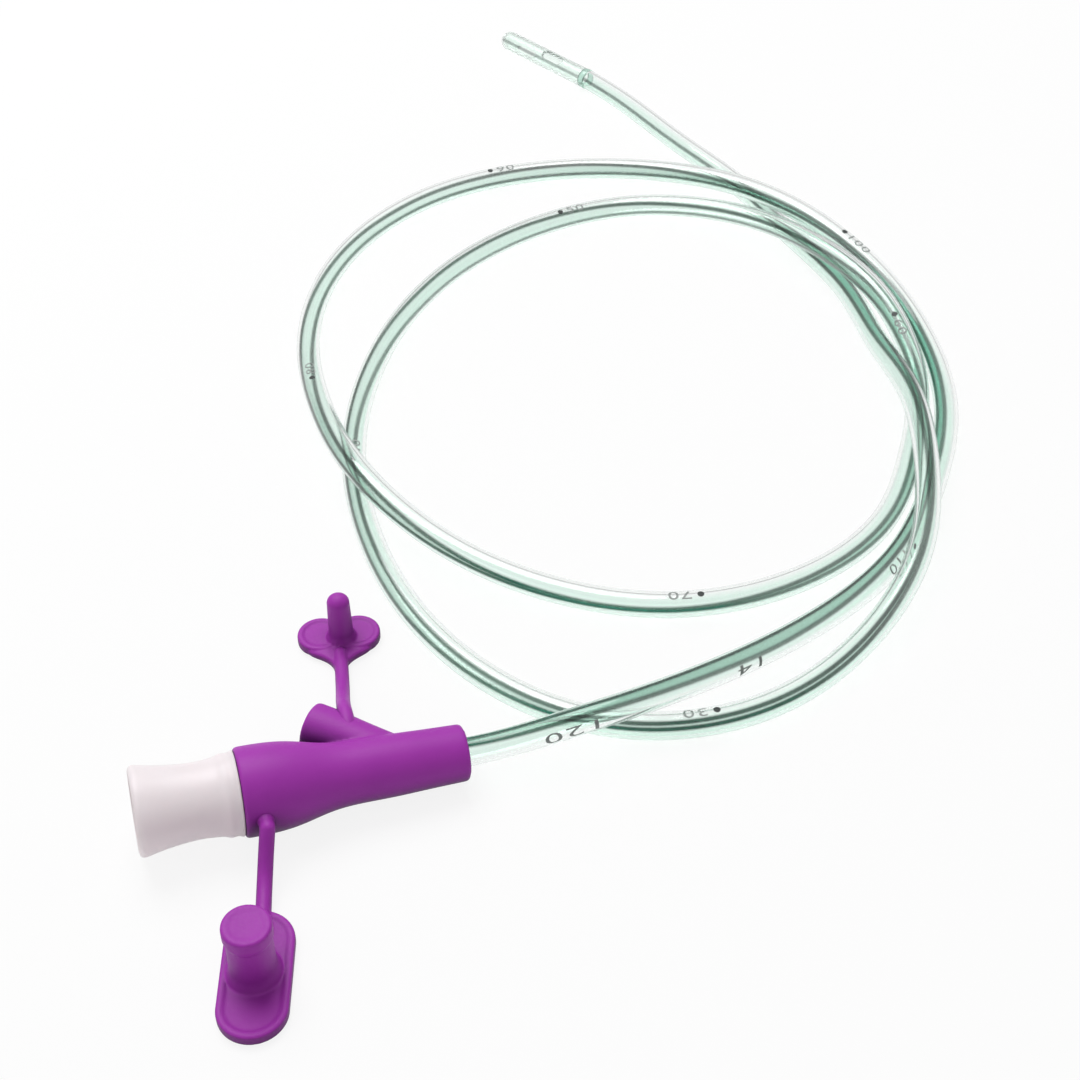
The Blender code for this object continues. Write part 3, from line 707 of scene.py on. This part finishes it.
largeCap = largeCapPiece()
smallCap = smallCapPiece()
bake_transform(largeCap)
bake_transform(smallCap)
for piece, node in ((largeCap, "large_cap"), (smallCap, "small_cap")):
    smoothShade(piece, 60.0)
    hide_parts(node)
print("caps moulded")


# printed depth numbers and dots: the marks at their places in mm from the connector's face, each a dot and
# a number, and the plain numbers
printSet = {
    "height": 1.8 * mm, "wide": 1.6, "gap": 1.6 * mm, "dot": 0.6 * mm, "lift": 0.02 * mm,
    "thickness": 0.03 * mm, "rows": 9, "dotSteps": 24,
    "marks": [("110", 93.9), ("100", 195.4), ("90", 286.5), ("80", 384), ("70", 486.7), ("60", 589),
              ("50", 684), ("40", 785.5), ("30", 887)],
    "plain": [("120", 17.5), ("14", 50)], "plainScale": (1.5, 1.05),
}


# flat ink points (x back along the tube, y round it) laid on the outer skin: the angle is the row's own
# plus y / radius
def wrapInk(flat, along):
    at = along - flat[:, 0]
    angle = printAngle(at) + flat[:, 1] / tubeSet["radius"]
    centre, upper, right = (np.stack([np.interp(at, tubeAlong, source[:, k]) for k in range(3)], 1)
                            for source in (tubeLine, tubeUpper, tubeRight))
    reach = tubeSet["radius"] + printSet["lift"]
    return centre + (np.cos(angle)[:, None] * upper + np.sin(angle)[:, None] * right) * reach


# letters as a flat mesh, cut into level rows so that it can bend round the tube
def flatWord(word):
    text = bpy.data.curves.new("ink", "FONT")
    text.body = word
    text.size = printSet["height"] / 0.7  # a numeral is 0.7 of the type size high
    text.align_x = "CENTER"
    text.space_character = 1.12
    text.resolution_u = 4
    temp = addObject("ink", text)
    bpy.context.view_layer.update()
    mesh = bpy.data.meshes.new_from_object(temp.evaluated_get(bpy.context.evaluated_depsgraph_get()))
    bpy.data.objects.remove(temp, do_unlink=True)
    work = bmesh.new()
    work.from_mesh(mesh)
    bmesh.ops.remove_doubles(work, verts=work.verts, dist=0.001 * mm)
    for level in np.linspace(0.0, printSet["height"], printSet["rows"])[1:-1]:
        everything = work.verts[:] + work.edges[:] + work.faces[:]
        bmesh.ops.bisect_plane(work, geom=everything, plane_co=(0, level, 0), plane_no=(0, 1, 0))
    bmesh.ops.triangulate(work, faces=work.faces)
    work.verts.index_update()
    points = np.array([vert.co[:2] for vert in work.verts])
    faces = np.array([[vert.index for vert in face.verts] for face in work.faces])
    work.free()
    bpy.data.meshes.remove(mesh)
    points *= [printSet["wide"], 1.0]
    points[:, 1] -= printSet["height"] / 2
    return points, faces


# disc of a middle point and three rings: radius * (cos, sin)
def flatDot():
    steps = printSet["dotSteps"]
    turn = np.linspace(0.0, math.tau, steps, endpoint=False)
    reach = np.array([0.35, 0.7, 1.0]) * printSet["dot"]
    rings = (reach[:, None, None] * np.stack([np.cos(turn), np.sin(turn)], 1)).reshape(-1, 2)
    j = np.arange(steps)
    k = (j + 1) % steps
    faces = [np.stack([np.zeros(steps, int), 1 + j, 1 + k], 1)]
    for start in (1, 1 + steps):
        a, b, c, d = start + j, start + k, start + steps + k, start + steps + j
        faces += [np.stack([a, c, b], 1), np.stack([a, d, c], 1)]
    return np.concatenate([[[0.0, 0.0]], rings]), np.concatenate(faces)


# all ink in one piece: dots in the dark material, numbers in the pale one
def inkPiece():
    parts = []
    pale = []
    for word, at in printSet["marks"]:
        dotPoints, dotFaces = flatDot()
        parts.append((wrapInk(dotPoints, at * mm), dotFaces))
        wordPoints, wordFaces = flatWord(word)
        middle = at * mm - printSet["gap"] - np.ptp(wordPoints[:, 0]) / 2
        parts.append((wrapInk(wordPoints, middle), wordFaces))
        pale += [0, 1]
    for word, at in printSet["plain"]:
        wordPoints, wordFaces = flatWord(word)
        parts.append((wrapInk(wordPoints * printSet["plainScale"], at * mm), wordFaces))
        pale.append(1)
    mesh = newMesh("depth_numbers", joined(parts))
    for made in (inkBlack, inkPale):
        mesh.materials.append(made)
    counts = [len(faces) for _, faces in parts]
    mesh.polygons.foreach_set("material_index", np.repeat(np.array(pale, dtype=np.int32), counts))
    piece = addObject("depth_numbers", mesh)
    film = piece.modifiers.new("Film", "SOLIDIFY")
    film.thickness = printSet["thickness"]
    film.offset = 1.0
    return bakeModifiers(piece)


# materials
def newMaterial(name):
    made = bpy.data.materials.new(name)
    made.use_nodes = True
    tree = made.node_tree
    return made, tree, tree.nodes["Principled BSDF"]


# each input gets a fixed value, or a link from the output that is named for it
def feed(tree, target, inputs):
    for key, value in inputs.items():
        if isinstance(value, bpy.types.NodeSocket):
            tree.links.new(value, target.inputs[key])
        else:
            target.inputs[key].default_value = value


def addNode(tree, kind, inputs=None, **settings):
    made = tree.nodes.new(kind)
    for key, value in settings.items():
        setattr(made, key, value)
    feed(tree, made, inputs or {})
    return made


def addMath(tree, operation, first, second=0.0, third=0.0, **settings):
    inputs = {0: first, 1: second, 2: third}
    return addNode(tree, "ShaderNodeMath", inputs, operation=operation, **settings).outputs[0]


def addRange(tree, value, low, high, **settings):
    inputs = {"Value": value, "From Min": low, "From Max": high}
    return addNode(tree, "ShaderNodeMapRange", inputs, **settings).outputs["Result"]


def addNoise(tree, scale, detail):
    place = addNode(tree, "ShaderNodeTexCoord").outputs["Object"]
    inputs = {"Vector": place, "Scale": scale, "Detail": detail}
    return addNode(tree, "ShaderNodeTexNoise", inputs).outputs["Fac"]


def addMix(tree, factor, first, second):
    inputs = {"Factor": factor, "A": first, "B": second}
    return addNode(tree, "ShaderNodeMix", inputs, data_type="RGBA").outputs["Result"]


# empty node group with its sockets; gives what comes in and where the results go
def newGroup(name, taken, given):
    group = bpy.data.node_groups.new(name, "ShaderNodeTree")
    for way, labels in (("INPUT", taken), ("OUTPUT", given)):
        for label in labels:
            kind = "NodeSocketColor" if label.endswith("Colour") else "NodeSocketFloat"
            group.interface.new_socket(name=label, in_out=way, socket_type=kind)
    return group, addNode(group, "NodeGroupInput").outputs, addNode(group, "NodeGroupOutput")


# colour in 0 to 255 as the screen shows it, turned into light
def rgba(red, green, blue):
    part = np.array([red, green, blue]) / 255.0
    return tuple(np.where(part <= 0.04045, part / 12.92, ((part + 0.055) / 1.055) ** 2.4)) + (1.0,)


softInputs = ("Colour", "Cloud Colour", "Cloud Scale", "Cloud Amount", "Grain Scale", "Gloss", "Gloss Change")


# moulded soft plastic: clouding in the colour, fine handling grain in the gloss and the surface
def softPlasticGroup():
    group, taken, given = newGroup("softPlastic", softInputs, ("Colour", "Roughness", "Height"))
    grain = addNoise(group, taken["Grain Scale"], 4.0)
    amount = addMath(group, "MULTIPLY", addNoise(group, taken["Cloud Scale"], 3.0), taken["Cloud Amount"])
    centred = addMath(group, "SUBTRACT", grain, 0.5)
    feed(group, given, {
        "Colour": addMix(group, amount, taken["Colour"], taken["Cloud Colour"]),
        "Roughness": addMath(group, "MULTIPLY_ADD", centred, taken["Gloss Change"], taken["Gloss"]),
        "Height": grain,
    })
    return group


softPlastic = softPlasticGroup()


def softMaterial(name, values):
    made, tree, shader = newMaterial(name)
    effect = addNode(tree, "ShaderNodeGroup", node_tree=softPlastic)
    feed(tree, effect, {key: values[key] for key in softInputs})
    colour = effect.outputs["Colour"]
    if "paintedShade" in values:
        # painted shade: corners and hollows that see little light take a darker purple, mixed in by ambient
        # occlusion
        corner = addNode(tree, "ShaderNodeAmbientOcclusion", {"Distance": values["paintedShadeReach"]}, samples=8)
        colour = addMix(tree, addRange(tree, corner.outputs["AO"], 0.3, 0.9), values["paintedShade"], colour)
    relief = {"Strength": values["bump"], "Distance": 0.1 * mm, "Height": effect.outputs["Height"]}
    bump = addNode(tree, "ShaderNodeBump", relief)
    feed(tree, shader, {
        "Base Color": colour, "Roughness": effect.outputs["Roughness"], "Normal": bump.outputs["Normal"],
        "IOR": 1.46, "Subsurface Weight": values["glow"], "Subsurface Radius": values["glowReach"],
        "Subsurface Scale": 1 * mm, "Transmission Weight": values.get("clear", 0.0),
        "Specular IOR Level": values.get("shine", 0.5),
    })
    if "inner" in values:
        # painted glow: a faint even emission all over, standing in for light that spreads inside the milky
        # wall
        feed(tree, shader, {"Emission Color": values["inner"], "Emission Strength": values["innerStrength"]})
    return made


# the purple's darker colour in corners and hollows is painted shade, from the ambient occlusion mix
purpleSoft = softMaterial("purpleSoft", {
    "Colour": rgba(166, 52, 174), "Cloud Colour": rgba(138, 36, 148), "Cloud Scale": 160.0,
    "Cloud Amount": 0.5, "Grain Scale": 2600.0, "Gloss": 0.5, "Gloss Change": 0.25, "bump": 0.12,
    "glow": 0.08, "glowReach": (1.4, 0.3, 1.5), "shine": 0.3, "paintedShade": rgba(66, 4, 76), "paintedShadeReach": 14 * mm,
})
# milky funnel, with a faint painted glow from its emission
milkySoft = softMaterial("milkySoft", {
    "Colour": rgba(250, 243, 246), "Cloud Colour": rgba(234, 223, 227), "Cloud Scale": 110.0,
    "Cloud Amount": 0.5, "Grain Scale": 1800.0, "Gloss": 0.4, "Gloss Change": 0.2, "bump": 0.1,
    "glow": 0.3, "glowReach": (3.0, 2.6, 2.6), "clear": 0.25,
    "inner": (1.0, 0.87, 0.84, 1.0), "innerStrength": 0.05,
})


# mask of a fine line: 1 within the line's width, eased to 0 past it, and only on the line's own side
def lineMask(group, taken, name):
    way = addNode(group, "ShaderNodeAttribute", attribute_name=name).outputs["Vector"]
    split = addNode(group, "ShaderNodeSeparateXYZ", {"Vector": way}).outputs
    edge = addMath(group, "ADD", taken["Line Width"], taken["Line Softness"])
    away = addMath(group, "ABSOLUTE", split["X"])
    near = addRange(group, away, edge, taken["Line Width"], interpolation_type="SMOOTHSTEP")
    front = addMath(group, "GREATER_THAN", split["Y"], 0.0)
    return addMath(group, "MULTIPLY", addMath(group, "MULTIPLY", near, front), split["Z"])


# wall with a tint between the two dark lines, and lines that cloud slowly from one shade to the other; the
# lines are partly the wall's own stripes and partly painted shade where shade shows through the clear wall
def stripeAndShadeLinesGroup():
    labels = ("Colour", "Fill Colour", "Line Colour", "Other Line Colour", "Line Width", "Line Softness",
              "Cloud Scale")
    group, taken, given = newGroup("stripeAndShadeLines", labels, ("Colour", "Line Mask"))
    lines = addMath(group, "MAXIMUM", lineMask(group, taken, "lineOne"), lineMask(group, taken, "lineTwo"))
    cloud = addNoise(group, taken["Cloud Scale"], 1.0)
    spread = addRange(group, cloud, 0.35, 0.65)
    shade = addMix(group, spread, taken["Line Colour"], taken["Other Line Colour"])
    fill = addNode(group, "ShaderNodeAttribute", attribute_name="lineFill").outputs["Fac"]
    tinted = addMix(group, fill, taken["Colour"], taken["Fill Colour"])
    feed(group, given, {"Colour": addMix(group, lines, tinted, shade), "Line Mask": lines})
    return group


stripeAndShadeLines = stripeAndShadeLinesGroup()


# clear plastic; light for shadows passes it tinted, so the shadow stays pale
def clearMaterial(name, values):
    made, tree, shader = newMaterial(name)
    colour = values["colour"]
    if "green" in values:
        # the half away from the printed row is a shade greener
        side = addNode(tree, "ShaderNodeAttribute", attribute_name="printSide").outputs["Fac"]
        colour = addMix(tree, addRange(tree, side, 0.3, -0.5), colour, values["green"])
    # dark lines that are partly stripes and partly painted shade, with the tint between them
    if "line" in values:
        effect = addNode(tree, "ShaderNodeGroup", node_tree=stripeAndShadeLines)
        feed(tree, effect, {
            "Colour": colour, "Fill Colour": values.get("fill", values["colour"]), "Cloud Scale": 14.0,
            "Line Colour": values["line"], "Other Line Colour": values["otherLine"],
            "Line Width": values["lineWidth"], "Line Softness": values["lineSoft"]})
        colour = effect.outputs["Colour"]
    feed(tree, shader, {"Base Color": colour, "Roughness": values["rough"], "IOR": values["ior"],
                        "Transmission Weight": values["clear"]})
    ray = addNode(tree, "ShaderNodeLightPath")
    passing = addNode(tree, "ShaderNodeBsdfTransparent", {"Color": values["shadow"]})
    mix = addNode(tree, "ShaderNodeMixShader", {
        "Fac": ray.outputs["Is Shadow Ray"], 1: shader.outputs["BSDF"], 2: passing.outputs["BSDF"]})
    feed(tree, tree.nodes["Material Output"], {"Surface": mix.outputs["Shader"]})
    return made


# the tube's dark line colours are partly stripe colour and partly painted shade
tubeClear = clearMaterial("tubeClear", {
    "colour": rgba(250, 252, 251), "green": rgba(229, 247, 239), "fill": (0.009, 0.24, 0.135, 1.0),
    "line": (0.0001, 0.026, 0.013, 1.0), "otherLine": (0.0008, 0.0017, 0.0015, 1.0),
    "lineWidth": 0.08, "lineSoft": 0.22, "rough": 0.03, "ior": 1.45, "clear": 1.0,
    "shadow": (0.88, 0.92, 0.9, 1.0),
})
# the tip's dark line colours are partly stripe colour and partly painted shade
tipMint = clearMaterial("tipMint", {
    "colour": rgba(242, 250, 246), "line": (0.006, 0.03, 0.02, 1.0), "otherLine": (0.012, 0.02, 0.018, 1.0),
    "lineWidth": 0.08, "lineSoft": 0.2, "rough": 0.2, "ior": 1.4, "clear": 0.95,
    "shadow": (0.88, 0.92, 0.9, 1.0),
})
jointBand = clearMaterial("jointBand", {
    "colour": rgba(200, 226, 216), "rough": 0.2, "ior": 1.45, "clear": 0.75, "shadow": (0.7, 0.75, 0.72, 1.0),
})
inkValues = {
    "Colour": rgba(24, 30, 29), "Cloud Colour": rgba(48, 56, 54), "Cloud Scale": 900.0, "Cloud Amount": 0.5,
    "Grain Scale": 5000.0, "Gloss": 0.5, "Gloss Change": 0.2, "bump": 0.05,
    "glow": 0.0, "glowReach": (1.0, 1.0, 1.0),
}
palerInk = {"Colour": rgba(88, 95, 92), "Cloud Colour": rgba(170, 176, 173), "Cloud Amount": 0.95}
inkBlack = softMaterial("inkBlack", inkValues)
inkPale = softMaterial("inkPale", {**inkValues, **palerInk})
for piece, made in ((connector, purpleSoft), (largeCap, purpleSoft), (smallCap, purpleSoft),
                    (funnel, milkySoft), (tube, tubeClear), (tip, tipMint), (tipRing, jointBand)):
    piece.data.materials.clear()
    piece.data.materials.append(made)
print("materials made")

ink = inkPiece()
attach(ink, "connector")
print("numbers printed")


# floor, light and world; "camera" and "seen" are how much of the floor glows evenly for the camera and for
# rays that pass or leave the plastic, "band" is the shade low on the horizon that those rays meet
stageSet = {
    "floorSize": 6.0, "camera": 0.86, "seen": 0.75, "world": 0.4, "band": 0.5, "bandEnds": (0.10, 0.42),
    # place, target, size in metres and power
    "lamps": [("lamp_top", (-0.05, 0.45, 0.85), (0.05, 0.08, 0.0), 0.7, 6.9),
              ("lamp_side", (-0.55, -0.15, 0.45), (0.05, 0.05, 0.0), 0.5, 0.3)],
}


def grey(shade):
    return (shade, shade, shade, 1.0)


# 1 for rays that have passed or left the plastic, and 0 for all others
def plasticRay(tree, ray):
    return addMath(tree, "ADD", ray["Is Transmission Ray"], ray["Is Glossy Ray"], use_clamp=True)


# flat square just under the part
def floorPiece():
    half = stageSet["floorSize"] / 2
    corners = np.array([(-half, -half), (half, -half), (half, half), (-half, half)])
    points = np.column_stack([corners, np.full(4, -0.05 * mm)])
    piece = addObject("floor", newMesh("floor", (points, np.array([(0, 1, 2, 3)]))))
    made, tree, shader = newMaterial("floorWhite")
    feed(tree, shader, {"Base Color": grey(0.86), "Roughness": 1.0, "Specular IOR Level": 0.0})
    glow = addNode(tree, "ShaderNodeEmission")
    ray = addNode(tree, "ShaderNodeLightPath").outputs
    cameraPart = addMath(tree, "MULTIPLY", ray["Is Camera Ray"], stageSet["camera"])
    share = addMath(tree, "MULTIPLY_ADD", plasticRay(tree, ray), stageSet["seen"], cameraPart)
    mix = addNode(tree, "ShaderNodeMixShader", {
        "Fac": share, 1: shader.outputs["BSDF"], 2: glow.outputs["Emission"]})
    feed(tree, tree.nodes["Material Output"], {"Surface": mix.outputs["Shader"]})
    piece.data.materials.append(made)
    return piece


floor = floorPiece()
for name, place, target, size, power in stageSet["lamps"]:
    lampData = bpy.data.lights.new(name, "AREA")
    lampData.shape = "DISK"
    lampData.size = size
    lampData.energy = power
    lamp = addObject(name, lampData)
    lamp.location = place
    lamp.rotation_euler = facing(place, target)


# white all round for the camera; rays that pass the clear plastic meet a dim band low on the horizon
def studioWorld():
    world = bpy.data.worlds.new("studio")
    world.use_nodes = True
    tree = world.node_tree
    way = addNode(tree, "ShaderNodeTexCoord").outputs["Generated"]
    height = addNode(tree, "ShaderNodeSeparateXYZ", {"Vector": way}).outputs["Z"]
    ramp = addNode(tree, "ShaderNodeValToRGB", {"Fac": height})
    stops = zip(ramp.color_ramp.elements, stageSet["bandEnds"], (grey(stageSet["band"]), grey(1.0)))
    for stop, position, colour in stops:
        stop.position = position
        stop.color = colour
    ray = addNode(tree, "ShaderNodeLightPath").outputs
    plain = addMix(tree, plasticRay(tree, ray), grey(stageSet["world"]), ramp.outputs["Color"])
    colour = addMix(tree, ray["Is Camera Ray"], plain, grey(1.0))
    feed(tree, tree.nodes["Background"], {"Color": colour, "Strength": 1.0})
    bpy.context.scene.world = world


studioWorld()
bpy.context.scene.view_settings.view_transform = "Standard"
print("stage set")
